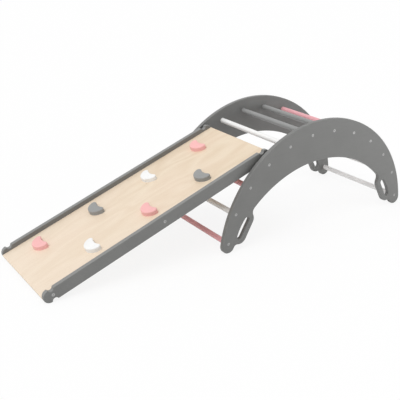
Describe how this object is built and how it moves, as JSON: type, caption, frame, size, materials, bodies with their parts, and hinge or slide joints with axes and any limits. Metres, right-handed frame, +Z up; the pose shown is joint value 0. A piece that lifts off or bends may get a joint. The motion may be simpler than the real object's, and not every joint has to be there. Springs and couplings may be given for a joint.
{
  "type": "climbing arch with slide",
  "caption": "Low wooden climbing arch with crescent side panels and round rungs, and a hook-on ramp board with half-moon climbing holds.",
  "frame": {"origin": "on the floor under the middle of the arch, halfway between the side panels", "axes": "+X along the arch's length, away from the ramp; +Y towards the left panel; +Z up"},
  "size_m": [1.7174, 0.48, 0.468],
  "materials": {
    "grey_panel_paint": "satin grey paint on plywood",
    "birch_plywood": "clear-lacquered birch plywood",
    "pink_paint": "satin pink paint on wood",
    "white_paint": "satin white paint on wood",
    "grey_paint": "satin grey paint on wood",
    "zinc_screw": "zinc-plated steel"
  },
  "bodies": {
    "arch": {"side_panel_right": "grey_panel_paint", "side_panel_left": "grey_panel_paint", "rung_01": "pink_paint", "rung_02": "white_paint", "rung_03": "pink_paint", "rung_04": "grey_paint", "rung_05": "white_paint", "rung_06": "grey_paint", "rung_07": "grey_paint", "rung_08": "pink_paint", "rung_09": "grey_paint", "rung_10": "pink_paint", "rung_11": "white_paint", "rung_12": "white_paint", "rung_screws_right": "zinc_screw", "rung_screws_left": "zinc_screw"},
    "ramp": {"ramp_board": "birch_plywood", "ramp_rail_right": "grey_panel_paint", "ramp_rail_left": "grey_panel_paint", "climbing_hold_1": "pink_paint", "climbing_hold_2": "white_paint", "climbing_hold_3": "grey_paint", "climbing_hold_4": "pink_paint", "climbing_hold_5": "white_paint", "climbing_hold_6": "grey_paint", "climbing_hold_7": "pink_paint", "rail_screws": "zinc_screw", "hold_screws": "zinc_screw"}
  },
  "joints": [
    {"name": "ramp_tilt", "type": "hinge", "parent": "arch", "child": "ramp", "pos_m": [-0.27746, 0, 0.33051], "axis": [0, 1, 0], "range_deg": [0, 80]}
  ]
}
